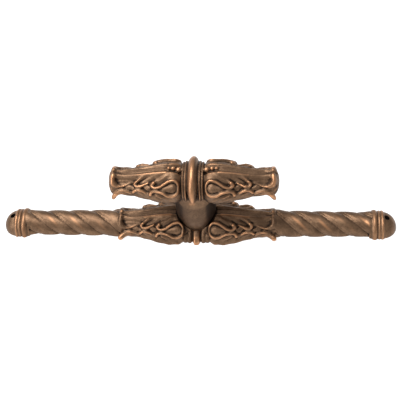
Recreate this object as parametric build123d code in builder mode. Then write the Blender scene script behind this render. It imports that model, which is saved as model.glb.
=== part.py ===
# Cabinet knob on a long backplate: carved leaf knob, rope-bar plate and the screw that joins them.
# The frame's origin is the centre of the plate's back, X runs along the plate and Z points out of the door.
import os
from math import cos, pi, sin

from build123d import *

# Overall sizes in mm
plate_length = 152.0
knob_axis_height = 25.8
plate_axis_height = 1.6

# Leaf sprig: half width and half height of its oval at stations from the root to the tip
leaf_root = 3.0
leaf_sections = [
    (leaf_root, 6.6, 6.0),
    (9.5, 9.0, 7.3),
    (16.5, 7.6, 6.3),
    (23.5, 5.8, 5.0),
    (28.6, 5.2, 4.5),
]
lobe_height = 0.45
ridge_height = 0.8
ridge_width = 0.95
midrib_width = 1.2
midrib_end = (27.6, 3.6)
scoop_radius = 6.5
scoop_at = (25.4, 9.8)
# Rolled lip round the leaf's end: along the leaf, then out from its axis
lip_profile = [(26.6, 0.0), (26.6, 4.2), (29.2, 5.6), (31.2, 3.6), (31.2, 0.0)]

# Centre collar of the knob: half width, half height and thickness of each oval disc
collar_discs = [(9.8, 8.5, 2.2), (9.3, 8.0, 3.8), (8.1, 7.0, 6.6)]

# Post of the knob and its seat in the plate: radius and height at each station
seat_height = 3.3
post_profile = [
    (5.2, seat_height),
    (6.9, 7.4),
    (7.7, 13.0),
    (7.5, knob_axis_height - 4.8),
    (6.4, knob_axis_height),
]
post_clearance = 0.25

# Rope bars of the plate
rope_radius = 5.2
rope_groove = 0.75
rope_axis_height = 1.1
rope_strands = 4
rope_lead = 34.4
rope_groove_at = 5.4
rope_start = 30.0
rope_overlap = 1.0

# Ringed and domed ends of the plate: their length, then the inset, thickness and radius of each ring
cap_length = 10.5
end_rings = [(8.5, 2.2, 6.4), (6.7, 0.9, 5.7), (5.6, 1.1, 5.8)]
dome_radius = 5.2
pin_hole_inset = 3.9
pin_hole_diameter = 1.9

# Ribs across the plate's centre: half width, height and thickness of each
centre_ribs = [(8.6, 4.0, 10.0), (9.0, 4.4, 6.4), (9.5, 4.9, 2.3)]

# Countersunk screw
thread_diameter = 4.0
screw_hole_diameter = 4.5
screw_head_diameter = 8.0
screw_head_recess = 0.15
screw_end = 13.0
tapped_hole_end = 15.0
drive_slot_length = 4.2
drive_slot_width = 0.9
drive_slot_depth = 1.0

# Carving of one leaf, drawn on a plane that faces its flank from the front and above
carving_tilt = 30.0
carving_reach = 14.0
loop_line = [
    (14.2, 1.5), (14.6, 0.1), (13.2, -0.1), (10.4, 1.0), (7.6, 2.5), (5.3, 1.2),
    (5.3, -2.0), (7.6, -3.4), (11.2, -2.2), (14.2, -1.6), (15.4, -3.0),
]
upper_lobe = [(4.4, 5.4), (12.6, 5.8), (14.6, 1.2), (13.6, -0.2), (7.6, 2.4)]
second_lobe = [(14.0, 4.6), (18.2, 4.0), (20.9, 0.6), (20.4, -0.4), (19.0, -0.3), (16.4, 1.2)]
bulb = [(11.3, -0.7), (8.6, 0.9), (6.4, -0.5), (7.4, -2.0), (9.2, -1.8)]
# Curled tail at the leaf's end: along the leaf, then out from its axis
tail_outline = [
    (21.5, -0.8), (25.5, -1.5), (28.4, -0.6), (30.2, 1.8), (30.6, 5.0),
    (29.6, 4.8), (28.4, 2.8), (26.4, 1.6), (21.5, 1.6),
]
tail_thickness = 2.4
tail_reach = 5.8
flat_tail_shift = 2.3

half_plate = plate_length / 2
cap_start = half_plate - cap_length
rope_end = cap_start + rope_overlap
carving_plane = Plane.XZ.rotated((-carving_tilt, 0, 0))


def leaf_body(growth=0.0):
    """Plain oval body of a leaf along X, with its skin grown outwards."""
    with BuildPart() as body:
        for x, half_width, half_height in leaf_sections:
            with BuildSketch(Plane.YZ.offset(x)):
                Ellipse(half_width + growth, half_height + growth)
        loft()
    return body.part


def raised_lobes():
    """Lobes of one flank, as steps on the leaf's skin."""
    with BuildPart() as lobes:
        add(leaf_body(lobe_height))
        with BuildSketch(carving_plane):
            for outline in (upper_lobe, second_lobe, bulb):
                with BuildLine():
                    Polyline(*outline, close=True)
                make_face()
        extrude(amount=carving_reach, mode=Mode.INTERSECT)
    return lobes.part


def ridge_outline(line, width):
    """Closed outline of a ridge along a line of points, mitred at its bends."""
    points = [Vector(*point) for point in line]
    runs = [(end - start).normalized() for start, end in zip(points, points[1:])]
    left, right = [], []
    for point, before, after in zip(points, runs[:1] + runs, runs + runs[-1:]):
        bisector = (before + after).normalized()
        across = Vector(-bisector.Y, bisector.X) * (width / 2 / bisector.dot(after))
        left.append(point + across)
        right.append(point - across)
    return left + right[::-1]


def carved_loop():
    """Ridge of one flank: a teardrop loop that ends in two hooks."""
    with BuildPart() as ridge:
        add(leaf_body(ridge_height))
        with BuildSketch(carving_plane):
            with BuildLine():
                Polyline(*ridge_outline(loop_line, ridge_width), close=True)
            make_face()
        extrude(amount=carving_reach, mode=Mode.INTERSECT)
    return ridge.part


def leaf_sprig(tail_plane):
    """One leaf along +X about its own axis, with its tails drawn on the plane given."""
    crest = [(x, half_height + ridge_height) for x, _, half_height in leaf_sections[:4]]
    with BuildPart() as sprig:
        add(raised_lobes())
        add(carved_loop())
        with BuildSketch(tail_plane):
            with BuildLine():
                Polyline(*tail_outline, close=True)
            make_face()
        extrude(amount=tail_thickness)
        mirror(about=Plane.XZ)
        add(leaf_body())
        with BuildSketch(Plane.XZ):
            with Locations(scoop_at):
                Circle(scoop_radius)
        extrude(amount=carving_reach, both=True, mode=Mode.SUBTRACT)
        with BuildSketch(Plane.XZ):
            with BuildLine():
                Polyline(*crest, midrib_end, (midrib_end[0], 0), (leaf_root, 0), close=True)
            make_face()
        extrude(amount=midrib_width / 2, both=True)
        with BuildSketch(Plane.XZ):
            with BuildLine():
                Polyline(*lip_profile, close=True)
            make_face()
        revolve(axis=Axis.X)
    return sprig.part


def oval_disc(half_width, half_height, thickness):
    """Oval disc across the X axis."""
    with BuildPart() as disc:
        with BuildSketch(Plane.YZ):
            Ellipse(half_width, half_height)
        extrude(amount=thickness / 2, both=True)
    return disc.part


def post_solid():
    """Flared post about the Z axis, standing on its seat."""
    with BuildPart() as post:
        with BuildSketch(Plane.XZ):
            with BuildLine():
                ThreePointArc(*post_profile[:3])
                Polyline(*post_profile[2:], (0, post_profile[-1][1]), (0, seat_height), post_profile[0])
            make_face()
        revolve(axis=Axis.Z)
    return post.part


def post_socket():
    """Room for the post in the plate, down to its seat."""
    outline = [(radius + post_clearance, height) for radius, height in post_profile]
    with BuildPart() as socket:
        with BuildSketch(Plane.XZ):
            with BuildLine():
                Polyline((0, seat_height), *outline, (0, outline[-1][1]), close=True)
            make_face()
        revolve(axis=Axis.Z)
    return socket.part


def rope_bar(start, length):
    """Twisted bar along X, with its flat back on the XY plane."""
    strand = 2 * pi / rope_strands
    first_groove = 2 * pi * (start - rope_groove_at) / rope_lead
    groove_radius = rope_radius - rope_groove
    with BuildSketch(Plane.YZ.offset(start)) as section:
        with BuildLine():
            for i in range(rope_strands):
                stations = [(groove_radius, i), (rope_radius, i + 0.5), (groove_radius, i + 1)]
                turns = [(radius, first_groove + step * strand) for radius, step in stations]
                ThreePointArc(*[(radius * cos(turn), radius * sin(turn)) for radius, turn in turns])
        make_face()
    twisted = Solid.extrude_linear_with_rotation(
        section.sketch.face(), center=(start, 0, 0), normal=(length, 0, 0), angle=360 * length / rope_lead
    )
    with BuildPart() as bar:
        with Locations((0, 0, rope_axis_height)):
            add(twisted)
        split(bisect_by=Plane.XY, keep=Keep.TOP)
    return bar.part


def plate_end():
    """Ringed and domed end of the plate at +X, with its pin hole."""
    dome_start = half_plate - dome_radius
    with BuildPart() as end:
        with BuildSketch(Plane.XZ):
            with BuildLine():
                Polyline((half_plate, 0), (cap_start, 0), (cap_start, dome_radius), (dome_start, dome_radius))
                RadiusArc((dome_start, dome_radius), (half_plate, 0), dome_radius)
            make_face()
            for inset, thickness, radius in end_rings:
                with Locations((half_plate - inset, radius / 2)):
                    Rectangle(thickness, radius)
        revolve(axis=Axis.X)
        split(bisect_by=Plane.XY, keep=Keep.TOP)
        with Locations((half_plate - pin_hole_inset, 0, 0)):
            Hole(pin_hole_diameter / 2)
    return end.part


# Knob: collar, two leaves with hanging tails, and post in one casting
hanging_tail = Plane((0, -tail_reach, 0), x_dir=(1, 0, 0), z_dir=(0, 1, 0))
with BuildPart() as knob:
    with Locations((0, 0, knob_axis_height)):
        add(leaf_sprig(hanging_tail))
    mirror(about=Plane.YZ)
    with Locations((0, 0, knob_axis_height)):
        for disc in collar_discs:
            add(oval_disc(*disc))
    add(post_solid())
    with Locations((0, 0, seat_height)):
        Cylinder(thread_diameter / 2, tapped_hole_end - seat_height,
                 align=(Align.CENTER, Align.CENTER, Align.MIN), mode=Mode.SUBTRACT)
knob.part.label = "knob"

# Backplate: two leaves in half relief with flat tails, rope bars, ringed ends and the seat of the post
flat_tail_top = tail_thickness - plate_axis_height
flat_tail = Plane((0, -flat_tail_shift, flat_tail_top), x_dir=(1, 0, 0), z_dir=(0, 0, -1))
with BuildPart() as backplate:
    with Locations((0, 0, plate_axis_height)):
        add(leaf_sprig(flat_tail))
    mirror(about=Plane.YZ)
    for rib in centre_ribs:
        add(oval_disc(*rib))
    split(bisect_by=Plane.XY, keep=Keep.TOP)
    for start in (-rope_end, rope_start):
        add(rope_bar(start, rope_end - rope_start))
    for turn in (0, 180):
        with Locations(Location((0, 0, 0), (0, 0, turn))):
            add(plate_end())
    add(post_socket(), mode=Mode.SUBTRACT)
    with Locations(Location((0, 0, 0), (180, 0, 0))):
        CounterSinkHole(screw_hole_diameter / 2, screw_head_diameter / 2, seat_height, counter_sink_angle=90)
backplate.part.label = "backplate"

# Countersunk screw, its cross recess open to the back
with BuildPart() as mounting_screw:
    head_radius = screw_head_diameter / 2
    with BuildSketch(Plane.XZ):
        with BuildLine():
            Polyline(
                (0, screw_head_recess),
                (head_radius - screw_head_recess, screw_head_recess),
                (thread_diameter / 2, head_radius - thread_diameter / 2),
                (thread_diameter / 2, screw_end),
                (0, screw_end),
                close=True,
            )
        make_face()
    revolve(axis=Axis.Z)
    for turn in (0, 90):
        with Locations(Location((0, 0, screw_head_recess), (0, 0, turn))):
            Box(drive_slot_length, drive_slot_width, 2 * drive_slot_depth, mode=Mode.SUBTRACT)
mounting_screw.part.label = "mounting_screw"

os.makedirs("parts", exist_ok=True)
export_step(knob.part, "parts/knob.step")
export_step(backplate.part, "parts/backplate.step")
export_step(mounting_screw.part, "parts/mounting_screw.step")
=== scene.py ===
import math

import bpy
import numpy as np
from mathutils import Matrix, Vector


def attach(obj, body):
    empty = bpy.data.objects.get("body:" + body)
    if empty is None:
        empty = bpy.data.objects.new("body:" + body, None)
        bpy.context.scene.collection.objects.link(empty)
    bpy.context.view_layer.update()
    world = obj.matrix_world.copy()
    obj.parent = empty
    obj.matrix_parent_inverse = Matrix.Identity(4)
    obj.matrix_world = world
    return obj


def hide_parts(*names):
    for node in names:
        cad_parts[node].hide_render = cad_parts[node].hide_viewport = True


MM = 0.001
full_turn = 2.0 * math.pi

# Heights of the two leaves' axes over the plate's back
knob_axis = 25.8
plate_axis = 2.2

# Plain body of a leaf: stations along it, half width, half height, and how far its upper quarters are pared
leaf_stations = [2.0, 4.0, 5.4, 9.5, 13.0, 16.5, 20.0, 23.5, 27.0, 29.4]
leaf_half_widths = [5.6, 6.5, 8.0, 9.0, 8.6, 7.6, 6.6, 5.8, 5.4, 5.1]
leaf_half_heights = [5.0, 5.7, 6.7, 7.3, 6.9, 6.3, 5.7, 5.2, 4.9, 4.8]
leaf_slopes = [0.0, 0.0, 0.2, 0.85, 1.10, 1.25, 1.05, 0.85, 0.60, 0.20]
leaf_end = 31.5
knob_paring = 1.0
plate_paring = 0.5
plate_foot_flare = 0.12
foot_flare_depth = 2.5
# Where the carving fades in at the root and out at the tip
carving_root_edge = (3.8, 1.2)
carving_tip_edge = (31.4, 0.9)

# The carving is drawn on a plane that faces the flank from the front and above: along the leaf, up the flank
carving_tilt = math.radians(30.0)
loop_ridge = [
    (14.1, 1.5), (14.8, 0.6), (13.7, -0.3), (11.9, 0.1), (10.2, 1.2), (8.3, 2.2), (6.3, 2.3), (5.1, 1.0),
    (4.8, -0.7), (5.5, -2.5), (7.2, -3.3), (8.8, -3.1), (10.5, -2.2), (12.6, -1.7), (14.2, -1.7),
    (15.1, -2.3), (15.3, -2.9),
]
upper_hook = [(20.4, 1.5), (21.1, 0.7), (20.6, -0.15), (19.2, -0.15), (17.6, 0.6), (16.2, 1.4)]
lower_hook = [(21.8, -2.5), (21.0, -1.8), (19.9, -1.5), (18.4, -1.9), (17.0, -2.8)]
lobe_rim = [(20.9, 0.7), (19.8, 2.1), (18.3, 3.4), (16.6, 4.3), (14.0, 4.75), (11.0, 5.0)]
tongue_rim = [(14.3, 1.2), (13.4, 2.2), (12.0, 2.9)]
lobe_edge = [(22.4, 1.0), (24.2, 0.1), (26.0, -0.6), (27.6, -0.6)]
rolled_lip = [(26.4, -0.6), (28.0, -0.5), (29.1, 0.3), (29.6, 1.4), (29.5, 2.5), (29.2, 3.2)]
crest_edge = [(9.5, 5.2), (13.0, 4.85), (17.0, 4.3), (20.0, 3.8), (24.0, 3.3)]
tail_ridge = [(22.6, -3.1), (24.0, -2.5), (26.0, -2.1), (27.6, -2.6), (28.8, -3.8)]
seed_line = [(7.2, -0.5), (9.0, -0.65), (12.2, -0.85)]
low_flute_one = [(13.2, -3.4), (11.5, -4.1), (9.6, -4.8)]
low_flute_two = [(19.8, -2.9), (18.4, -3.5), (16.8, -4.2)]
# Half width and height of each ridge, at its start, middle and end
ridge_sizes = [
    (loop_ridge, (0.85, 0.60, 0.80), (0.95, 0.80, 0.90)),
    (upper_hook, (0.65, 0.85, 0.40), (0.85, 1.05, 0.25)),
    (lower_hook, (0.65, 0.80, 0.40), (0.85, 0.95, 0.15)),
    (lobe_rim, (0.75, 0.70, 0.85), (0.60, -0.05, 0.05)),
    (tongue_rim, (0.60, 0.60, 0.70), (0.40, 0.10, -0.30)),
    (lobe_edge, (0.35, 0.50, 0.60), (-0.10, 0.20, 0.40)),
    (rolled_lip, (0.55, 1.35, 1.10), (0.40, 0.70, 0.80)),
    (crest_edge, (0.80, 0.90, 0.90), (0.12, 0.12, -0.20)),
    (tail_ridge, (0.55, 0.70, 0.85), (0.45, 0.80, 0.80)),
    (seed_line, (1.95, 1.25, 0.25), (0.20, 0.20, -0.10)),
    (low_flute_one, (0.40, 0.55, 0.30), (0.00, 0.15, -0.20)),
    (low_flute_two, (0.40, 0.50, 0.30), (0.00, 0.10, -0.20)),
]
ridge_shares = (0.0, 0.5, 1.0)
ridge_roundness = 0.55
ridge_step = 0.15
no_ridge = -10.0

# Upper and lower edges of the sunk band between the rows of lobes, its depth, and how steep its walls are
band_top = [
    (4.4, -0.7), (5.1, 1.0), (6.3, 2.3), (8.3, 2.2), (10.2, 1.2), (11.9, 0.1), (13.7, -0.3), (15.1, 0.3),
    (16.2, 1.2), (17.6, 0.5), (19.2, -0.3), (21.0, -0.2), (22.4, 0.9), (24.2, 0.1), (26.0, -0.6),
    (28.2, -0.9),
]
band_foot = [
    (4.4, -0.7), (5.5, -2.5), (7.2, -3.3), (8.8, -3.1), (10.5, -2.2), (12.6, -1.7), (14.2, -1.7),
    (15.5, -2.5), (17.0, -2.8), (18.4, -1.8), (19.9, -1.3), (21.2, -1.7), (22.4, -3.1), (24.0, -2.5),
    (26.0, -2.1), (28.2, -1.2),
]
band_depth = 0.6
band_wall = 0.5
band_overlap = 0.4
band_start_edge = (4.4, 0.4)
# Diamond studs in the band: place, half length, half height, relief
studs = [((16.5, -0.65), 1.8, 1.5, -0.05), ((23.0, -1.1), 2.2, 1.1, -0.10)]
stud_steepness = 3.0
# Pits in the hooks: place, radius, depth
pits = [
    ((13.3, 0.9), 0.8, 0.25), ((19.7, 0.7), 0.9, 0.20),
    ((14.1, -2.7), 0.9, 0.25), ((20.2, -2.3), 0.9, 0.25),
]

# Two lobes over the band: tip, how much the edge leans back up the flank, and from which height
first_lobe = (14.9, 0.42, 0.6)
second_lobe = (21.2, 0.85, 0.2)
end_lobe_tip = 28.7
# Length of the step from each of the two down to the next lobe
first_lobe_step = 0.6
second_lobe_step = 0.8
# Depth and length of the hollow inside the tip of each lobe, from the root to the leaf's end
lobe_hollows = [(0.50, 2.2), (0.60, 2.4), (1.25, 2.0)]
lobe_root_depth = 0.60
lobe_root_length = 2.2
lobe_crest_fade = 1.6
# Two lobes under the band
low_lobe_tips = (15.7, 22.2)
low_lobe_step = 0.7
low_lobe_depth = 0.90
low_lobe_length = 3.0
low_lobe_foot_edge = (-5.2, 1.5)
# Fine flutes on the lobes, the end lobe and the low lobes: depth, slant, spacing, and where the slant starts
lobe_flutes = (0.18, 0.55, 2.3, 0.0)
end_flutes = (0.09, -0.03, 1.3, 20.0)
low_flutes = (0.12, -0.5, 1.9, 0.0)
lobe_flute_edge = (7.0, 3.0)
flute_side_edge = (1.8, 1.0)
flute_band_fade = 1.2

# Valley along the crest: along the leaf and half width, along the leaf and depth, and its fine streaks
valley_half_widths = [
    (4.0, 2.4), (9.0, 1.9), (12.0, 1.8), (20.0, 1.7), (26.0, 1.4), (28.0, 0.7), (30.0, 0.5),
]
valley_depths = [(4.0, 1.5), (8.0, 1.1), (11.0, 0.8), (20.0, 0.45), (26.0, 0.5), (28.5, 0.9)]
valley_wall = 1.2
valley_overlap = 0.2
valley_height_edge = (2.0, 1.0)
streak_depth = 0.05
streak_spacing = 1.1
streak_edge = (9.0, 5.0)

# Tails at the leaf's end: along the leaf, out to the front, up from the leaf's axis, radius
hanging_tail = [
    (23.5, -5.6, -1.0, 0.35), (25.4, -5.4, -0.6, 0.60), (27.2, -5.4, -0.5, 0.80), (28.5, -5.5, -1.2, 0.90),
    (29.2, -5.4, -2.4, 0.88), (29.7, -5.2, -3.6, 0.80), (29.8, -5.0, -4.3, 0.50),
]
flat_tail = [
    (23.2, -5.6, -0.9, 0.35), (25.2, -5.4, -0.7, 0.65), (27.2, -5.6, -0.6, 0.90), (28.6, -6.1, -0.9, 1.05),
    (29.4, -6.8, -1.2, 1.05), (29.8, -7.4, -1.5, 0.90), (29.9, -7.7, -1.6, 0.50),
]

# Beads on the knob's crest: along the leaf, radius; and how far their centres lie under the crest
crest_beads = [(5.1, 1.10), (7.1, 0.78), (8.7, 0.64)]
bead_sink = 0.6

# Collar of the knob: core, a roll that narrows and sinks at the post, and rings: place, half width, height
collar_half_length = 4.4
collar_radius = 5.5
collar_ovalness = 1.15
roll_height = 3.0
roll_half_width = 2.0
roll_narrowing = 0.85
roll_narrow_edge = (0.55, 1.2)
roll_sink = 0.6
roll_sink_edge = (0.15, 0.6)
collar_rings = [(2.60, 0.46, 1.55), (3.60, 0.44, 1.20)]

# Ribs across the plate's centre: a bead rib between flatter ones with a place and a height each
rib_half_length = 5.0
rib_base_radius = 3.80
rib_ovalness = 1.94
bead_rib_half_width = 1.5
bead_rib_height = 1.20
bead_rib_squareness = 4
flat_ribs = [(2.6, 0.70), (4.2, 0.62)]
flat_rib_slope = 0.9
flat_rib_top = 1.4

# Plate ends: dome, and rings with their distance from the end, thickness and radius
half_plate = 76.0
plate_end_start = 65.4
dome_radius = 5.85
end_rings = [(8.5, 2.2, 6.6), (6.75, 1.1, 6.3), (5.55, 1.25, 6.35)]
end_neck_depth = 0.25
pin_hole_inset = 3.9
pin_hole_radius = 0.95

# Rope bars: radii at leaf and end ring, flare at both, and strands with a groove, a crease and a fillet
rope_span = (29.0, 67.0)
rope_radii = (5.55, 5.05)
rope_axis = 1.0
rope_seen = (31.0, 66.4)
rope_flare = 0.35
rope_flare_length = 3.0
rope_strands = 4
rope_lead = 34.4
rope_groove_at = 5.4
rope_groove = 0.4
rope_crease = 0.45
rope_crease_sharpness = 9
rope_fillet = 0.30
rope_fillet_at = 0.16
rope_fillet_half_width = 0.05

# Post of the knob, radius and height of each point of its outline, and its seat and screw in the plate
seat_height = 3.3
post_profile = [
    (5.2, 3.3), (5.95, 5.0), (6.9, 7.4), (7.5, 10.2), (7.7, 13.0), (7.7, 17.0), (7.5, 21.0), (6.6, 26.0),
]
post_clearance = 0.25
screw_hole_radius = 2.25
screw_head_radius = 4.0
tapped_hole_radius = 2.0
tapped_hole_end = 15.0
pin_hole_top = 8.0
cut_past = 1.0

# Meshes: grids along and round each shell, shares of their length that close their ends, and fineness
leaf_grid = (170, 300)
collar_grid = (73, 260)
rib_grid = (83, 200)
end_grid = (88, 200)
rope_grid = (240, 240)
post_grid = (120, 180)
leaf_root_share = 0.004
leaf_cap_share = 0.002
bar_cap_share = 0.004
post_cap_share = 0.006
merge_distance = 0.004
tube_order = 3
tube_resolution = 16
tube_bevel_resolution = 8
bead_segments = 24
bead_rings = 16
knob_voxel = 0.245
plate_voxel = 0.24
soften_share = 0.5
soften_rounds = 2
cutter_sides = 64
cut_margin = 0.5
back_block = (200.0, 100.0, 20.0)
smooth_angle = math.radians(40.0)

# Relief that the finish follows: rounds of smoothing that each kind is measured against, and its own blur
relief_rounds = (("fine_relief_and_shade", 8), ("broad_relief_and_shade", 48))
relief_blur = 0.6
relief_blur_rounds = 2

# Painted shade on the post under the knob: its share on the front, where its sides begin, and how deep it
# counts
post_shade_top_edge = (knob_axis - 5.5, 2.0)
post_shade_foot_edge = (seat_height, 1.0)
post_shade_reach_edge = (8.0, 0.1)
post_shade_side_edge = (3.6, 2.8)
post_shade_front = 0.38
post_shade_depths = (("fine_relief_and_shade", 0.16), ("broad_relief_and_shade", 1.0))
# Pin holes: unrubbed rim and wall darkened by painted shade, as shares of the hole's radius, and how deep
# the wall's painted shade counts
pin_rim_share = 1.7
pin_wall_share = 1.02
pin_wall_shade_depth = -1.0

# Rubbing on the knob: strength, place and reach on each feature, with patina left on rings and lip tops; the
# roll's copper sits left of its middle and is partly a painted highlight
roll_rub_and_highlight = 0.55
roll_rub_and_highlight_at = -0.5
roll_rub_and_highlight_half_width = 1.3
roll_crown_edge = (7.2, 0.8)
roll_foot_edge = (knob_axis - 6.0, 2.0)
ring_patina = 0.40
ring_middle = 3.1
ring_half_width_edge = (1.3, 0.3)
ring_base_edge = (5.3, 0.4)
knob_lip_rub = 0.40
knob_lip_reach = 1.5
lip_top_patina = 0.60
lip_top_side_edge = (1.9, 0.6)
lip_top_start_edge = (27.5, 0.8)
lip_top_height_edge = (knob_axis, 1.0)
knob_tail_rub = 0.30
# Rubbing along the crest's edge, in front and behind
knob_crest_rub = (0.30, -0.40)
plate_crest_rub = (0.50, -0.40)
crest_reach = 0.8
crest_side_edge = (1.2, 0.5)
# Rubbing on the plate, with patina left on lips and flat ribs
rib_rub = 0.60
rib_half_width_edge = (1.5, 0.2)
rib_front_edge = (7.5, 0.6)
flat_rib_patina = 0.60
flat_rib_inner_edge = (1.7, 0.2)
flat_rib_outer_edge = (5.2, 0.2)
plate_lip_patina = 0.70
plate_lip_reach = 1.8
plate_tail_rub = 0.20
end_ring_rub = 0.22
end_ring_depth = 0.6
end_ring_fade = 0.4
# Rubbed streaks and painted highlights along the rope's strands, in patches that face up and to the front,
# weaker on the left bar than on the right one
left_strand_rub_and_highlight = 0.45
right_strand_rub_and_highlight = 0.95
strand_middle = 0.55
strand_half_width = 0.14
patch_level = 0.75
patch_swing = 0.6
patch_rate = 0.52
patch_start = 0.4
patch_and_highlight_turn = 1.0
patch_and_highlight_turn_reach = 0.8
rope_rub_start_edge = (32.0, 1.0)
rope_rub_end_edge = (66.0, 1.0)
# Reach of the rubbing round a tail, where it starts, and steps along lines that distances are measured to
tail_reach_edge = (1.3, 0.4)
tail_start_edge = (24.0, 2.0)
tail_step = 0.4
carved_line_step = 0.3

# Finish: colours of patina, specks, hollows and bare copper, and the relief at which each sets in; the
# hollow colours also hold painted shade on the post and in the pin holes, and the copper also painted
# highlights on the roll and the rope
dark_brown = (0.130, 0.075, 0.043)
light_brown = (0.218, 0.129, 0.075)
speck_brown = (0.088, 0.051, 0.031)
hollow_patina_and_shade_black = (0.026, 0.016, 0.011)
deep_patina_and_shade_black = (0.040, 0.024, 0.016)
bare_copper_and_highlight = (0.50, 0.250, 0.125)
cloud_scale = 220.0
cloud_detail = 3.0
cloud_range = (0.3, 0.7)
speck_scale = 1500.0
speck_detail = 3.0
speck_range = (0.45, 0.70)
speck_strength = 0.5
hollow_range = (-0.02, -0.11)
deep_range = (-0.20, -0.70)
deep_strength = 0.7
rubbed_range = (0.05, 0.17)
bronze_metallic = 0.9
patina_roughness = 0.48
copper_roughness = 0.34
grain_scale = 1800.0
grain_detail = 2.0
grain_strength = 0.08
grain_height = 0.1
# Places of the two colours and the result among the sockets of a colour mix
mix_first = 6
mix_second = 7
mix_result = 2
# Finish of the screw
steel_grey = (0.56, 0.56, 0.55, 1.0)
steel_roughness = 0.32

# Studio in metres: floor, lamps with their place, size and power, and surroundings from left to right
floor_size = 6.0
floor_drop = 0.02 * MM
floor_grey = (0.8, 0.8, 0.8, 1.0)
floor_glow = 0.9
shadow_grey = (0.3, 0.3, 0.3, 1.0)
lamp_target = (0.0, 0.0, 0.01)
key_lamp = ((-0.30, 0.05, 0.75), (0.6, 0.6), 8.0)
strip_lamp = ((-0.65, -0.35, 0.30), (0.15, 0.5), 2.4)
surround_white = (1.0, 1.0, 1.0, 1.0)
surround_range = (-0.6, 0.8)
surround_strengths = (0.63, 0.51)

# Camera as in the photograph: turn round Z, height over the floor, roll, lens and distance
camera_turn = math.radians(7.0)
camera_rise = math.radians(48.5)
camera_roll = math.radians(-5.03)
camera_lens = 83.7
camera_sensor = 36.0
camera_distance = 362.7
camera_target = Vector((0.7, 8.3, 5.7))
camera_near = 10.0


def deselect_all():
    """Nothing is selected, so that an operator acts on the new piece alone."""
    bpy.ops.object.select_all(action="DESELECT")


def make_active(piece):
    """Selects one piece and nothing else."""
    deselect_all()
    piece.select_set(True)
    bpy.context.view_layer.objects.active = piece


def vertex_places(piece):
    """Places of a piece's vertices in mm."""
    places = np.zeros(len(piece.data.vertices) * 3)
    piece.data.vertices.foreach_get("co", places)
    return places.reshape(-1, 3) / MM


def move_vertices(piece, places):
    """Puts a piece's vertices at places in mm."""
    piece.data.vertices.foreach_set("co", (places * MM).ravel())
    piece.data.update()


def turn_faces_outwards(piece, merge=False):
    """Turns a closed shell's faces outwards, with its seam and poles merged first if asked."""
    make_active(piece)
    bpy.ops.object.mode_set(mode="EDIT")
    bpy.ops.mesh.select_all(action="SELECT")
    if merge:
        bpy.ops.mesh.remove_doubles(threshold=merge_distance * MM)
    bpy.ops.mesh.normals_make_consistent(inside=False)
    bpy.ops.object.mode_set(mode="OBJECT")


def wrapped_grid(name, grid, shape):
    """A flat grid rolled into a closed shell: shape gives places from a share of its length and a turn."""
    deselect_all()
    bpy.ops.mesh.primitive_grid_add(x_subdivisions=grid[0], y_subdivisions=grid[1], size=1.0)
    piece = bpy.context.object
    piece.name = name
    flat = vertex_places(piece) * MM
    move_vertices(piece, shape(flat[:, 0] + 0.5, (flat[:, 1] + 0.5) * full_turn))
    turn_faces_outwards(piece, merge=True)
    return piece


def apply_modifier(piece, kind, **settings):
    """Adds one modifier and applies it."""
    make_active(piece)
    modifier = piece.modifiers.new(kind.title(), kind)
    for key, value in settings.items():
        setattr(modifier, key, value)
    bpy.ops.object.modifier_apply(modifier=modifier.name)


def ease(value):
    """Soft step from 0 to 1."""
    share = np.clip(value, 0.0, 1.0)
    return share * share * (3.0 - 2.0 * share)


def past(value, edge, fade):
    """Soft step from 0 to 1 where a value passes an edge."""
    return ease((value - edge) / fade)


def short_of(value, edge, fade):
    """Soft step from 1 to 0 where a value comes up to an edge."""
    return ease((edge - value) / fade)


def half_round(offset, half_width):
    """Height of a half-round bead over its base, as a share of its full height."""
    return np.sqrt(np.clip(1.0 - (offset / half_width) ** 2, 0.0, 1.0))


def fall_off(distance, length):
    """Fall from 1 at an edge towards 0 further in."""
    return np.exp(-np.clip(distance, 0.0, None) / length)


def between(at, points):
    """Value at a place on straight lines between points of place and value."""
    return np.interp(at, *np.transpose(points))


def smooth_value(at, stations, values):
    """Smooth curve through values at stations."""
    stations = np.asarray(stations)
    values = np.asarray(values)
    slopes = np.gradient(values, stations)
    low = np.clip(np.searchsorted(stations, at) - 1, 0, len(stations) - 2)
    gap = stations[low + 1] - stations[low]
    share = (at - stations[low]) / gap
    rest = 1.0 - share
    start = values[low] * (1.0 + 2.0 * share) + gap * slopes[low] * share
    end = values[low + 1] * (1.0 + 2.0 * rest) - gap * slopes[low + 1] * rest
    return start * rest ** 2 + end * share ** 2


def smooth_line(points, step):
    """Points at even steps along a smooth line through the given ones, and each one's share of the way."""
    points = np.asarray(points)
    lengths = np.linalg.norm(np.diff(points, axis=0), axis=1)
    reached = np.concatenate([[0.0], np.cumsum(lengths)])
    along = np.linspace(0.0, reached[-1], int(reached[-1] / step) + 2)
    line = np.stack([smooth_value(along, reached, axis) for axis in points.T], axis=1)
    return line, along / reached[-1]


def up_the_flank(y, z):
    """Height on the plane that the carving is drawn on."""
    return z * math.cos(carving_tilt) - np.abs(y) * math.sin(carving_tilt)


def ridge_relief(x, up):
    """Highest ridge over each point of the flank, from the floor of the band."""
    relief = np.full(x.shape, no_ridge)
    for points, half_widths, heights in ridge_sizes:
        line, shares = smooth_line(points, ridge_step)
        for place, share in zip(line, shares):
            half_width = np.interp(share, ridge_shares, half_widths)
            height = np.interp(share, ridge_shares, heights) + band_depth
            offset = np.hypot(x - place[0], up - place[1])
            near = offset < half_width
            bump = height * (1.0 - (offset[near] / half_width) ** 2) ** ridge_roundness - band_depth
            relief[near] = np.maximum(relief[near], bump)
    return relief


def lobe_front(up, lobe):
    """Where a lobe's edge lies along the leaf at each height of the flank."""
    tip, lean, lean_height = lobe
    return tip - lean * np.clip(up - lean_height, 0.0, None)


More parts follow.
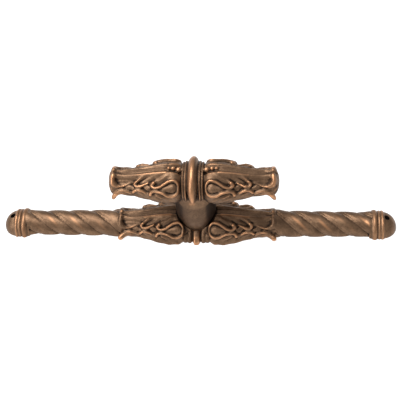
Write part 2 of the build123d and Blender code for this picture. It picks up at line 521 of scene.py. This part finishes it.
def on_lobe(x, front, step):
    """1 on a lobe and 0 past its edge."""
    return ease((front - x) / step + 0.5)


def flute_waves(x, up, flutes):
    """Fine flutes in slanting rows."""
    depth, slant, spacing, start = flutes
    return depth * np.cos((up + slant * (x - start)) * full_turn / spacing)


def upper_lobes(x, up, side):
    """Two overlapping lobes over the band and the scooped end lobe: their dishes, and their flutes."""
    fronts = (lobe_front(up, first_lobe), lobe_front(up, second_lobe), end_lobe_tip)
    on_first = on_lobe(x, fronts[0], first_lobe_step)
    on_second = on_lobe(x, fronts[1], second_lobe_step)
    first_dish, second_dish, end_dish = [
        -depth * fall_off(front - x, length) for front, (depth, length) in zip(fronts, lobe_hollows)
    ]
    second_root = -lobe_root_depth * fall_off(x - fronts[0], lobe_root_length)
    end_root = -lobe_root_depth * fall_off(x - fronts[1], lobe_root_length)
    later = on_second * (second_root + second_dish) + (1.0 - on_second) * (end_root + end_dish)
    dishes = on_first * first_dish + (1.0 - on_first) * later
    waves = on_second * flute_waves(x, up, lobe_flutes) * past(x, *lobe_flute_edge)
    waves = waves + (1.0 - on_second) * flute_waves(x, up, end_flutes)
    dishes = dishes * short_of(up, between(x, crest_edge), lobe_crest_fade)
    return dishes, waves * past(side, *flute_side_edge)


def lower_lobes(x, up):
    """Two dished lobes under the band."""
    first, second = low_lobe_tips
    on_first = on_lobe(x, first, low_lobe_step)
    on_second = on_lobe(x, second, low_lobe_step)
    first_dish = -low_lobe_depth * fall_off(first - x, low_lobe_length)
    second_dish = -low_lobe_depth * fall_off(second - x, low_lobe_length)
    dishes = on_first * first_dish + (1.0 - on_first) * on_second * second_dish
    return dishes * past(up, *low_lobe_foot_edge)


def lobe_relief(x, up, side):
    """Rows of lobes over and under the sunk band."""
    top = between(x, band_top)
    foot = between(x, band_foot)
    upper_dishes, upper_waves = upper_lobes(x, up, side)
    upper = upper_dishes + upper_waves * past(up, top, flute_band_fade)
    lower = lower_lobes(x, up) + flute_waves(x, up, low_flutes) * short_of(up, foot, flute_band_fade)
    under_top = ease((top - up) / band_wall + band_overlap)
    over_foot = ease((up - foot) / band_wall + band_overlap)
    sunk = under_top * over_foot * past(x, *band_start_edge)
    rows = np.where(up > (top + foot) / 2.0, upper, lower)
    return rows * (1.0 - sunk) - band_depth * sunk


def crest_valley(x, z, side):
    """Shallow valley along the crest that widens and deepens towards the beads at the root."""
    streaks = streak_depth * np.cos(side * full_turn / streak_spacing) * past(x, *streak_edge)
    inside = ease((between(x, valley_half_widths) - side) / valley_wall + valley_overlap)
    return (between(x, valley_depths) + streaks) * inside * past(z, *valley_height_edge)


def leaf_relief(x, y, z):
    """Height of the carving over the leaf's plain body."""
    side = np.abs(y)
    up = up_the_flank(y, z)
    relief = lobe_relief(x, up, side)
    for place, radius, depth in pits:
        relief = relief - depth * ease(1.0 - np.hypot(x - place[0], up - place[1]) / radius)
    for place, half_length, half_height, height in studs:
        offset = np.abs(x - place[0]) / half_length + np.abs(up - place[1]) / half_height
        stud = (height + band_depth) * ease((1.0 - offset) * stud_steepness) - band_depth
        relief = np.maximum(relief, stud)
    relief = np.maximum(relief, ridge_relief(x, up)) - crest_valley(x, z, side)
    return relief * past(x, *carving_root_edge) * short_of(x, *carving_tip_edge)


def leaf_shell(name, axis_height, paring, foot_flare=0.0):
    """One carved leaf along +X."""
    start = leaf_stations[0]
    body_end = leaf_stations[-1]

    def shape(share, turn):
        along = np.clip((share - leaf_root_share) / (1.0 - leaf_root_share), 0.0, 1.0)
        x = start + (leaf_end - start) * along
        inner = np.minimum(x, body_end)
        round_end = half_round(np.maximum(x - body_end, 0.0), leaf_end - body_end)
        closed = round_end * np.clip(share / leaf_cap_share, 0.0, 1.0)
        half_width = smooth_value(inner, leaf_stations, leaf_half_widths)
        half_height = smooth_value(inner, leaf_stations, leaf_half_heights)
        y = -half_width * np.cos(turn)
        z = half_height * np.sin(turn)
        flare = 1.0 + foot_flare * ease(-z / foot_flare_depth)
        shoulder = np.where(z > 0.0, np.sin(2.0 * turn) ** 2, 0.0)
        pared = smooth_value(inner, leaf_stations, leaf_slopes) * shoulder
        relief = leaf_relief(x, y, z) - paring * pared
        out_y = y / half_width ** 2
        out_z = z / half_height ** 2
        size = np.hypot(out_y, out_z)
        y = (y * flare + relief * out_y / size) * closed
        z = (z + relief * out_z / size) * closed
        return np.stack([x, y, z + axis_height], axis=1)

    return wrapped_grid(name, leaf_grid, shape)


def end_caps(share, cap_share):
    """0 at both ends of a shell and 1 between them, so that its ends close."""
    return np.clip(np.minimum(share, 1.0 - share) / cap_share, 0.0, 1.0)


def bar_shell(name, profile, span, grid, axis_height, ovalness=1.0):
    """Shell about a line along X: profile gives its radius up from the axis at each place and turn."""
    start, end = span

    def shape(share, turn):
        x = start + (end - start) * share
        radius = profile(x, turn) * end_caps(share, bar_cap_share)
        y = -radius * ovalness * np.cos(turn)
        return np.stack([x, y, radius * np.sin(turn) + axis_height], axis=1)

    return wrapped_grid(name, grid, shape)


def collar_profile(x, turn):
    """Roll of the knob's collar, which sinks into the post, with two thin rings on each side."""
    across = np.abs(x)
    up = np.sin(turn)
    half_width = roll_half_width - roll_narrowing * short_of(up, *roll_narrow_edge)
    sunk = roll_sink * past(-up, *roll_sink_edge)
    relief = roll_height * half_round(across, half_width) * (1.0 - sunk)
    for place, ring_half_width, height in collar_rings:
        relief = np.maximum(relief, height * half_round(across - place, ring_half_width))
    return collar_radius + relief


def rib_profile(x, turn):
    """Bead rib across the plate's centre between flatter ribs."""
    across = np.abs(x)
    bead = np.clip(1.0 - (across / bead_rib_half_width) ** bead_rib_squareness, 0.0, 1.0)
    relief = bead_rib_height * bead
    for place, height in flat_ribs:
        relief = np.maximum(relief, height * ease(flat_rib_top - np.abs(across - place) / flat_rib_slope))
    return rib_base_radius + relief


def end_profile(x, turn):
    """Domed end of the plate with its three rings."""
    from_end = half_plate - np.abs(x)
    radius = dome_radius * half_round(np.clip(dome_radius - from_end, 0.0, dome_radius), dome_radius)
    neck = dome_radius - end_neck_depth
    for inset, thickness, ring_radius in end_rings:
        ring = neck + (ring_radius - neck) * half_round(from_end - inset, thickness / 2.0)
        on_ring = np.abs(from_end - inset) < thickness / 2.0
        radius = np.where(on_ring, np.maximum(radius, ring), radius)
    return radius


def strand_share(x, turn):
    """How far across its strand each point of the rope lies, from 0 to 1."""
    strand = (x + turn / full_turn * rope_lead - rope_groove_at) / (rope_lead / rope_strands)
    return strand - np.floor(strand)


def rope_profile(x, turn):
    """Twisted rope bar, thinner towards the plate's end."""
    across = strand_share(x, turn)
    from_top = np.abs(1.0 - 2.0 * across)
    groove = rope_groove * from_top ** 2 + rope_crease * from_top ** rope_crease_sharpness
    fillet = rope_fillet * half_round(across - rope_fillet_at, rope_fillet_half_width)
    out = np.abs(x)
    from_stop = np.minimum(out - rope_seen[0], rope_seen[1] - out)
    flare = rope_flare * ease(1.0 - from_stop / rope_flare_length)
    return np.interp(out, rope_span, rope_radii) + flare - groove - fillet


def post_shell(name, growth=0.0):
    """Flared post about Z, up to the knob's axis."""
    radii, heights = np.transpose(post_profile)

    def shape(share, turn):
        z = seat_height + (knob_axis - seat_height) * share
        radius = (smooth_value(z, heights, radii) + growth) * end_caps(share, post_cap_share)
        return np.stack([radius * np.cos(turn), radius * np.sin(turn), z], axis=1)

    return wrapped_grid(name, post_grid, shape)


def tapered_tube(name, route, axis_height):
    """Round tapering curl along points with a radius each."""
    deselect_all()
    bpy.ops.curve.primitive_nurbs_path_add()
    piece = bpy.context.object
    piece.name = name
    line = piece.data.splines[0]
    line.points.add(len(route) - len(line.points))
    for point, (x, y, z, radius) in zip(line.points, route):
        point.co = (x * MM, y * MM, (z + axis_height) * MM, 1.0)
        point.radius = radius
    line.order_u = tube_order
    line.use_endpoint_u = True
    piece.data.resolution_u = tube_resolution
    piece.data.bevel_depth = MM
    piece.data.bevel_resolution = tube_bevel_resolution
    piece.data.use_fill_caps = True
    make_active(piece)
    bpy.ops.object.convert(target="MESH")
    piece = bpy.context.object
    turn_faces_outwards(piece, merge=True)
    return piece


def crest_bead(x, radius):
    """Small bead on the crest of the knob's leaf."""
    crest = float(smooth_value(x, leaf_stations, leaf_half_heights))
    place = (x * MM, 0.0, (knob_axis + crest - bead_sink) * MM)
    deselect_all()
    bpy.ops.mesh.primitive_uv_sphere_add(
        segments=bead_segments, ring_count=bead_rings, radius=radius * MM, location=place)
    piece = bpy.context.object
    piece.name = "crest_bead"
    bpy.ops.object.transform_apply(location=True, rotation=True, scale=True)
    return piece


def mirrored_copy(piece, axis):
    """Copy of a piece on the other side of the middle, with its own mesh."""
    make_active(piece)
    bpy.ops.object.duplicate()
    copy = bpy.context.object
    places = vertex_places(copy)
    places[:, axis] *= -1.0
    move_vertices(copy, places)
    turn_faces_outwards(copy)
    return copy


def on_both_sides(pieces, axis):
    """The pieces and their mirrored copies."""
    return pieces + [mirrored_copy(piece, axis) for piece in pieces]


def fuse(pieces, name, voxel):
    """Melts overlapping shells into one casting and softens its creases."""
    make_active(pieces[0])
    for piece in pieces:
        piece.select_set(True)
    bpy.ops.object.join()
    casting = bpy.context.object
    casting.name = name
    apply_modifier(casting, "REMESH", mode="VOXEL", voxel_size=voxel * MM)
    apply_modifier(casting, "SMOOTH", factor=soften_share, iterations=soften_rounds)
    return casting


def split_quads_near(piece, cutter):
    """Halves the bent quads round a cut into flat triangles, so that the cut leaves no folded slivers."""
    cut_places = vertex_places(cutter)
    centres = np.zeros(len(piece.data.polygons) * 3)
    piece.data.polygons.foreach_get("center", centres)
    centres = centres.reshape(-1, 3) / MM
    corner_counts = np.zeros(len(piece.data.polygons), dtype=np.int32)
    piece.data.polygons.foreach_get("loop_total", corner_counts)
    low = cut_places.min(axis=0) - cut_margin
    high = cut_places.max(axis=0) + cut_margin
    near = np.all((centres > low) & (centres < high), axis=1) & (corner_counts == 4)
    make_active(piece)
    bpy.ops.object.mode_set(mode="EDIT")
    bpy.ops.mesh.select_mode(type="FACE")
    bpy.ops.mesh.select_all(action="DESELECT")
    bpy.ops.object.mode_set(mode="OBJECT")
    piece.data.polygons.foreach_set("select", near)
    bpy.ops.object.mode_set(mode="EDIT")
    bpy.ops.mesh.quads_convert_to_tris()
    bpy.ops.object.mode_set(mode="OBJECT")


def cut_away(piece, cutter):
    """Cuts one closed piece out of another and merges the points that the cut doubled."""
    split_quads_near(piece, cutter)
    apply_modifier(piece, "BOOLEAN", operation="DIFFERENCE", solver="EXACT", object=cutter)
    bpy.data.objects.remove(cutter)
    turn_faces_outwards(piece, merge=True)


def upright_cone(name, radius, top_radius, low, high, x=0.0):
    """Cylinder or cone about an upright line between two heights, as a cutter."""
    deselect_all()
    bpy.ops.mesh.primitive_cone_add(
        vertices=cutter_sides, radius1=radius * MM, radius2=top_radius * MM, depth=(high - low) * MM,
        location=(x * MM, 0.0, (low + high) / 2.0 * MM))
    piece = bpy.context.object
    piece.name = name
    bpy.ops.object.transform_apply(location=True, rotation=True, scale=True)
    return piece


def upright_hole(name, radius, low, high, x=0.0):
    """Round hole about an upright line, as a cutter."""
    return upright_cone(name, radius, radius, low, high, x)


def flatten_back(piece):
    """Cuts a casting off at the plate's back."""
    length, width, depth = back_block
    deselect_all()
    bpy.ops.mesh.primitive_cube_add(
        size=1.0, location=(0.0, 0.0, -depth / 2.0 * MM), scale=(length * MM, width * MM, depth * MM))
    bpy.ops.object.transform_apply(location=True, rotation=True, scale=True)
    cut_away(piece, bpy.context.object)


def build_knob():
    """Collar, two carved leaves with hanging tails, beads and post in one casting."""
    leaf = leaf_shell("knob_leaf", knob_axis, knob_paring)
    tail = tapered_tube("hanging_tail", hanging_tail, knob_axis)
    beads = [crest_bead(x, radius) for x, radius in crest_beads]
    half = on_both_sides([tail], 1) + beads + [leaf]
    collar_span = (-collar_half_length, collar_half_length)
    collar = bar_shell("collar", collar_profile, collar_span, collar_grid, knob_axis, collar_ovalness)
    knob = fuse(on_both_sides(half, 0) + [collar, post_shell("post")], "bronze_knob", knob_voxel)
    cut_away(knob, upright_hole("tapped_hole", tapped_hole_radius, seat_height - cut_past, tapped_hole_end))
    return knob


def cut_screw_seat(plate):
    """Seat of the post, hole of the screw and countersink of its head."""
    cut_away(plate, post_shell("post_socket", growth=post_clearance))
    cut_away(plate, upright_hole("screw_hole", screw_hole_radius, -cut_past, seat_height + cut_past))
    cone_radius = screw_head_radius + cut_past
    cut_away(plate, upright_cone("countersink", cone_radius, 0.0, -cut_past, screw_head_radius))


def build_plate():
    """Two carved leaves in half relief, rope bars, ringed ends and the seat of the post in one casting."""
    leaf = leaf_shell("plate_leaf", plate_axis, plate_paring, plate_foot_flare)
    tail = tapered_tube("flat_tail", flat_tail, plate_axis)
    sides = on_both_sides([leaf] + on_both_sides([tail], 1), 0)
    rib_span = (-rib_half_length, rib_half_length)
    ribs = bar_shell("centre_ribs", rib_profile, rib_span, rib_grid, 0.0, rib_ovalness)
    ropes = [
        bar_shell("rope_bar", rope_profile, span, rope_grid, rope_axis)
        for span in (rope_span, (-rope_span[1], -rope_span[0]))
    ]
    end = bar_shell("plate_end", end_profile, (plate_end_start, half_plate), end_grid, 0.0)
    plate = fuse(sides + [ribs] + ropes + on_both_sides([end], 0), "bronze_backplate", plate_voxel)
    flatten_back(plate)
    for x in (-half_plate + pin_hole_inset, half_plate - pin_hole_inset):
        cut_away(plate, upright_hole("pin_hole", pin_hole_radius, -cut_past, pin_hole_top, x))
    cut_screw_seat(plate)
    return plate


def measure_relief(piece):
    """Marks how far each point stands over or under its surroundings, for rubbed edges and dark hollows."""
    mesh = piece.data
    count = len(mesh.vertices)
    places = vertex_places(piece)
    normals = np.zeros(count * 3)
    mesh.vertices.foreach_get("normal", normals)
    normals = normals.reshape(-1, 3)
    edges = np.zeros(len(mesh.edges) * 2, dtype=np.int64)
    mesh.edges.foreach_get("vertices", edges)
    first, second = edges.reshape(-1, 2).T
    degree = np.maximum(np.bincount(first, minlength=count) + np.bincount(second, minlength=count), 1)

    def neighbour_mean(values):
        total = np.bincount(first, values[second], count) + np.bincount(second, values[first], count)
        return total / degree

    soft = places.copy()
    for name, rounds in relief_rounds:
        for _ in range(rounds):
            soft = np.stack([neighbour_mean(soft[:, axis]) for axis in range(3)], axis=1)
        relief = np.einsum("ij,ij->i", places - soft, normals)
        for _ in range(relief_blur_rounds):
            relief = (1.0 - relief_blur) * relief + relief_blur * neighbour_mean(relief)
        attribute = mesh.attributes.new(name, "FLOAT", "POINT")
        attribute.data.foreach_set("value", relief.astype(np.float32))


def paint_shade_in_recesses(piece):
    """Paints shade into the pin holes and onto the post under the knob, by marking them as deep hollows."""
    x, y, z = vertex_places(piece).T
    from_hole = np.hypot(np.abs(x) - (half_plate - pin_hole_inset), y)
    under_knob = short_of(z, *post_shade_top_edge) * past(z, *post_shade_foot_edge)
    on_post = under_knob * short_of(np.hypot(x, y), *post_shade_reach_edge)
    sides = past(np.abs(x), *post_shade_side_edge)
    # Painted shade: the post under the knob is darkened a little on its front and more on its sides
    painted_shade = on_post * (post_shade_front + (1.0 - post_shade_front) * sides)
    for name, depth in post_shade_depths:
        values = piece.data.attributes[name].data
        relief = np.zeros(len(x))
        values.foreach_get("value", relief)
        on_rim = from_hole < pin_hole_radius * pin_rim_share
        relief = np.where(on_rim, np.minimum(relief, 0.0), relief - depth * painted_shade)
        # Painted shade on the pin holes' walls, set as the deepest hollow
        relief = np.where(from_hole < pin_hole_radius * pin_wall_share, pin_wall_shade_depth, relief)
        values.foreach_set("value", relief.astype(np.float32))


def near_tail(x, y, z, route, axis_height):
    """How close each point lies to a tail, from 0 to 1."""
    line, _ = smooth_line([(*place[:2], place[2] + axis_height) for place in route], tail_step)
    places = np.stack([np.abs(x), -np.abs(y), z], axis=1)
    nearest = np.min([np.linalg.norm(places - place, axis=1) for place in line], axis=0)
    return short_of(nearest, *tail_reach_edge) * past(np.abs(x), *tail_start_edge)


def near_carving(x, y, z, points, reach):
    """How close each point of a leaf lies to a carved line, from 0 to 1."""
    up = up_the_flank(y, z)
    line, _ = smooth_line(points, carved_line_step)
    nearest = np.min([np.hypot(np.abs(x) - along, up - height) for along, height in line], axis=0)
    return ease(1.0 - nearest / reach)


def crest_wear(x, y, z, rub):
    """Rubbing along the edge of a leaf's crest, in front and behind."""
    front, back = rub
    near = near_carving(x, y, z, crest_edge[:-1], crest_reach) * past(np.abs(y), *crest_side_edge)
    return near * np.where(y < 0.0, front, back)


def knob_wear_and_highlight(x, y, z):
    """Rubbing of the knob on roll, lips, crests and tails, with a painted highlight on the roll's left side;
    patina left on rings and lip tops.
    """
    side = np.abs(y)
    out = np.abs(x)
    height = z - knob_axis
    from_axis = np.hypot(y / collar_ovalness, height)
    # Copper on the roll left of its middle: rubbing, and a painted highlight on the side the lamps light
    roll_wear_and_highlight = roll_rub_and_highlight * half_round(x - roll_rub_and_highlight_at, roll_rub_and_highlight_half_width)
    roll_wear_and_highlight = roll_wear_and_highlight * past(from_axis, *roll_crown_edge) * past(z, *roll_foot_edge)
    rings = short_of(np.abs(out - ring_middle), *ring_half_width_edge) * past(from_axis, *ring_base_edge)
    lip = knob_lip_rub * near_carving(x, y, height, rolled_lip[2:], knob_lip_reach)
    crest = crest_wear(x, y, height, knob_crest_rub)
    lip_tops = short_of(side, *lip_top_side_edge) * past(out, *lip_top_start_edge)
    lip_tops = lip_tops * past(z, *lip_top_height_edge)
    tail = knob_tail_rub * near_tail(x, y, z, hanging_tail, knob_axis)
    return roll_wear_and_highlight + lip + crest + tail - ring_patina * rings - lip_top_patina * lip_tops


def end_ring_wear(x, y, z):
    """Rubbing on the rings at the plate's ends."""
    copper_marks = np.zeros(len(x))
    for inset, thickness, radius in end_rings:
        ring = half_round(half_plate - np.abs(x) - inset, thickness / 2.0)
        crown = past(np.hypot(y, z), radius - end_ring_depth, end_ring_fade)
        copper_marks = np.maximum(copper_marks, end_ring_rub * ring * crown)
    return copper_marks


def strand_wear_and_highlight(x, y, z):
    """Rubbed streaks and painted highlights along the middle of the rope's strands, in patches facing up and
    to the front.
    """
    turn = np.arctan2(z - rope_axis, -y)
    streak = ease(1.0 - np.abs(strand_share(x, turn) - strand_middle) / strand_half_width)
    patches = ease(patch_level + patch_swing * np.sin(patch_rate * x + patch_start))
    # The patches face up and to the front, where they are partly painted highlights
    patches = patches * ease(1.0 - np.abs(turn - patch_and_highlight_turn) / patch_and_highlight_turn_reach)
    on_rope = past(np.abs(x), *rope_rub_start_edge) * short_of(np.abs(x), *rope_rub_end_edge)
    return np.where(x > 0.0, right_strand_rub_and_highlight, left_strand_rub_and_highlight) * on_rope * streak * patches


def plate_wear_and_highlight(x, y, z):
    """Rubbing of the plate on rib, crests, tails, rings and strands, with painted highlights on the strands;
    patina left on lips and flat ribs.
    """
    out = np.abs(x)
    height = z - plate_axis
    rib = rib_rub * short_of(out, *rib_half_width_edge) * past(np.abs(y), *rib_front_edge)
    flat = flat_rib_patina * past(out, *flat_rib_inner_edge) * short_of(out, *flat_rib_outer_edge)
    lip = plate_lip_patina * near_carving(x, y, height, rolled_lip[1:], plate_lip_reach)
    crest = crest_wear(x, y, height, plate_crest_rub)
    tail = plate_tail_rub * near_tail(x, y, z, flat_tail, plate_axis)
    return rib - flat - lip + crest + tail + end_ring_wear(x, y, z) + strand_wear_and_highlight(x, y, z)


def mark_wear_and_highlight(piece, copper_marks):
    """Keeps the rubbed places and the painted highlights on the mesh."""
    attribute = piece.data.attributes.new("copper_marks", "FLOAT", "POINT")
    attribute.data.foreach_set("value", copper_marks(*vertex_places(piece).T).astype(np.float32))


def link(tree, source, socket, target, input_name):
    """Joins two nodes of a material."""
    tree.links.new(source.outputs[socket], target.inputs[input_name])


def add_node(tree, kind, **settings):
    """New node with its settings."""
    node = tree.nodes.new(kind)
    for key, value in settings.items():
        setattr(node, key, value)
    return node


def ranged(tree, source, socket, from_range, to_range=(0.0, 1.0)):
    """Maps a value softly from one range to another and keeps it inside."""
    node = add_node(tree, "ShaderNodeMapRange", interpolation_type="SMOOTHSTEP")
    node.inputs["From Min"].default_value, node.inputs["From Max"].default_value = from_range
    node.inputs["To Min"].default_value, node.inputs["To Max"].default_value = to_range
    link(tree, source, socket, node, "Value")
    return node


def mixed_colour(tree, factor, first, second):
    """Mix of two colours, each a node or a plain colour."""
    node = add_node(tree, "ShaderNodeMix", data_type="RGBA")
    link(tree, factor, 0, node, "Factor")
    for socket, value in ((node.inputs[mix_first], first), (node.inputs[mix_second], second)):
        if isinstance(value, tuple):
            socket.default_value = (*value, 1.0)
        else:
            tree.links.new(value.outputs[mix_result], socket)
    return node


def noise(tree, scale, detail):
    """Even noise on the piece's own place."""
    place = add_node(tree, "ShaderNodeTexCoord")
    node = add_node(tree, "ShaderNodeTexNoise")
    node.inputs["Scale"].default_value = scale
    node.inputs["Detail"].default_value = detail
    link(tree, place, "Object", node, "Vector")
    return node


def patina_and_shade(tree, fine_and_shade):
    """Clouded and specked brown, darker in fine hollows and near black in broad ones; the hollows also carry
    painted shade on the post under the knob and in the pin holes.
    """
    broad_and_shade = add_node(tree, "ShaderNodeAttribute", attribute_name="broad_relief_and_shade")
    cloud = ranged(tree, noise(tree, cloud_scale, cloud_detail), "Fac", cloud_range)
    brown = mixed_colour(tree, cloud, dark_brown, light_brown)
    speck = ranged(tree, noise(tree, speck_scale, speck_detail), "Fac", speck_range, (0.0, speck_strength))
    mottled = mixed_colour(tree, speck, brown, speck_brown)
    # Hollows darken towards near black: patina, and painted shade on the post and in the pin holes
    hollowed_and_shaded = mixed_colour(tree, ranged(tree, fine_and_shade, "Fac", hollow_range), mottled, hollow_patina_and_shade_black)
    deep_and_shaded = ranged(tree, broad_and_shade, "Fac", deep_range, (0.0, deep_strength))
    return mixed_colour(tree, deep_and_shaded, hollowed_and_shaded, deep_patina_and_shade_black)


def bare_and_highlight_share(tree, fine_and_shade):
    """How far the patina is rubbed off or covered by painted highlights, from the fine relief and the marked
    wear and highlights.
    """
    wear_and_highlight = add_node(tree, "ShaderNodeAttribute", attribute_name="copper_marks")
    rubbed = ranged(tree, fine_and_shade, "Fac", rubbed_range)
    bare_and_highlight = add_node(tree, "ShaderNodeMath", operation="ADD", use_clamp=True)
    tree.links.new(rubbed.outputs[0], bare_and_highlight.inputs[0])
    tree.links.new(wear_and_highlight.outputs["Fac"], bare_and_highlight.inputs[1])
    return bare_and_highlight


def cast_grain(tree, shader):
    """Fine grain of a cast face."""
    bump = add_node(tree, "ShaderNodeBump")
    bump.inputs["Strength"].default_value = grain_strength
    bump.inputs["Distance"].default_value = grain_height * MM
    link(tree, noise(tree, grain_scale, grain_detail), "Fac", bump, "Height")
    link(tree, bump, "Normal", shader, "Normal")


def antique_bronze(name):
    """Brown bronze with hollows near black, partly painted shade, and edges rubbed back to copper, with
    painted highlights in copper too.
    """
    material = bpy.data.materials.new(name)
    material.use_nodes = True
    tree = material.node_tree
    shader = tree.nodes["Principled BSDF"]
    fine_and_shade = add_node(tree, "ShaderNodeAttribute", attribute_name="fine_relief_and_shade")
    bare_and_highlight = bare_and_highlight_share(tree, fine_and_shade)
    # Copper where rubbed, and as painted highlights on the roll and the rope's strands
    colour = mixed_colour(tree, bare_and_highlight, patina_and_shade(tree, fine_and_shade), bare_copper_and_highlight)
    tree.links.new(colour.outputs[mix_result], shader.inputs["Base Color"])
    shader.inputs["Metallic"].default_value = bronze_metallic
    roughness = ranged(tree, bare_and_highlight, 0, (0.0, 1.0), (patina_roughness, copper_roughness))
    link(tree, roughness, 0, shader, "Roughness")
    cast_grain(tree, shader)
    return material


def screw_steel():
    """Plain bright zinc-plated steel."""
    material = bpy.data.materials.new("zinc_plated_steel")
    material.use_nodes = True
    shader = material.node_tree.nodes["Principled BSDF"]
    shader.inputs["Base Color"].default_value = steel_grey
    shader.inputs["Metallic"].default_value = 1.0
    shader.inputs["Roughness"].default_value = steel_roughness
    return material


def dress(piece, material):
    """Gives a piece one material and smooth faces."""
    piece.data.materials.clear()
    piece.data.materials.append(material)
    make_active(piece)
    bpy.ops.object.shade_smooth_by_angle(angle=smooth_angle)


def floor_white():
    """White to the camera and in reflections, with a thin shadow, and matte pale grey to all other light."""
    material = bpy.data.materials.new("white_floor")
    material.use_nodes = True
    tree = material.node_tree
    tree.nodes.remove(tree.nodes["Principled BSDF"])
    matte = add_node(tree, "ShaderNodeBsdfDiffuse")
    matte.inputs["Color"].default_value = floor_grey
    glow = add_node(tree, "ShaderNodeEmission")
    glow.inputs["Strength"].default_value = floor_glow
    thin_shadow = add_node(tree, "ShaderNodeBsdfDiffuse")
    thin_shadow.inputs["Color"].default_value = shadow_grey
    white = add_node(tree, "ShaderNodeAddShader")
    tree.links.new(glow.outputs[0], white.inputs[0])
    tree.links.new(thin_shadow.outputs[0], white.inputs[1])
    path = add_node(tree, "ShaderNodeLightPath")
    seen = add_node(tree, "ShaderNodeMath", operation="MAXIMUM")
    tree.links.new(path.outputs["Is Camera Ray"], seen.inputs[0])
    tree.links.new(path.outputs["Is Glossy Ray"], seen.inputs[1])
    mix = add_node(tree, "ShaderNodeMixShader")
    link(tree, seen, 0, mix, "Fac")
    tree.links.new(matte.outputs[0], mix.inputs[1])
    tree.links.new(white.outputs[0], mix.inputs[2])
    link(tree, mix, 0, tree.nodes["Material Output"], "Surface")
    return material


def white_floor():
    """Floor just under the plate's back."""
    deselect_all()
    bpy.ops.mesh.primitive_plane_add(size=floor_size, location=(0.0, 0.0, -floor_drop))
    floor = bpy.context.object
    floor.name = "floor"
    bpy.ops.object.transform_apply(location=True, rotation=True, scale=True)
    floor.data.materials.append(floor_white())


def soft_box(name, place, size, power):
    """Rectangular studio lamp that faces the object."""
    deselect_all()
    bpy.ops.object.light_add(type="AREA", location=place)
    lamp = bpy.context.object
    lamp.name = name
    lamp.data.shape = "RECTANGLE"
    lamp.data.size, lamp.data.size_y = size
    lamp.data.energy = power
    lamp.rotation_euler = (Vector(lamp_target) - Vector(place)).to_track_quat("-Z", "Y").to_euler()


def studio_light():
    """Soft key from above, a strip low on the left, and white surroundings, brighter on the left."""
    soft_box("key", *key_lamp)
    soft_box("left_strip", *strip_lamp)
    world = bpy.data.worlds.new("white_surroundings")
    bpy.context.scene.world = world
    world.use_nodes = True
    tree = world.node_tree
    background = tree.nodes["Background"]
    background.inputs["Color"].default_value = surround_white
    direction = add_node(tree, "ShaderNodeTexCoord")
    parts = add_node(tree, "ShaderNodeSeparateXYZ")
    link(tree, direction, "Generated", parts, "Vector")
    strength = ranged(tree, parts, "X", surround_range, surround_strengths)
    link(tree, strength, 0, background, "Strength")


def photo_camera():
    """Camera at the photograph's place."""
    back = Vector((
        math.sin(camera_turn) * math.cos(camera_rise),
        -math.cos(camera_turn) * math.cos(camera_rise),
        math.sin(camera_rise),
    ))
    level = Vector((math.cos(camera_turn), math.sin(camera_turn), 0.0))
    up = back.cross(level)
    right = math.cos(camera_roll) * level + math.sin(camera_roll) * up
    top = back.cross(right)
    deselect_all()
    bpy.ops.object.camera_add(location=(camera_target + back * camera_distance) * MM)
    camera = bpy.context.object
    camera.rotation_euler = Matrix((right, top, back)).transposed().to_euler()
    camera.data.sensor_width = camera_sensor
    camera.data.lens = camera_lens
    camera.data.clip_start = camera_near * MM
    bpy.context.scene.camera = camera


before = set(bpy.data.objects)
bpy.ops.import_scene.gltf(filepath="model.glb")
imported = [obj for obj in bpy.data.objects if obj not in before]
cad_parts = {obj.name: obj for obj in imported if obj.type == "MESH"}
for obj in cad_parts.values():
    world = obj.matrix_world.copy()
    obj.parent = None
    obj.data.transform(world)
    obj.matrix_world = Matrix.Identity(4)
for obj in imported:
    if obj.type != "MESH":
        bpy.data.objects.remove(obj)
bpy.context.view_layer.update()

bronze = antique_bronze("antique_bronze")
for casting, node, slot, copper_marks in (
    (build_knob(), "knob", "knob_bronze", knob_wear_and_highlight),
    (build_plate(), "backplate", "plate_bronze", plate_wear_and_highlight),
):
    measure_relief(casting)
    # Painted shade on the post under the knob and in the pin holes
    paint_shade_in_recesses(casting)
    mark_wear_and_highlight(casting, copper_marks)
    dress(casting, bronze)
    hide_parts(node)
    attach(casting, "root")

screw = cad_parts["mounting_screw"]
screw.data.materials.clear()
screw.data.materials.append(screw_steel())

white_floor()
studio_light()
photo_camera()
bpy.context.scene.view_settings.view_transform = "Standard"
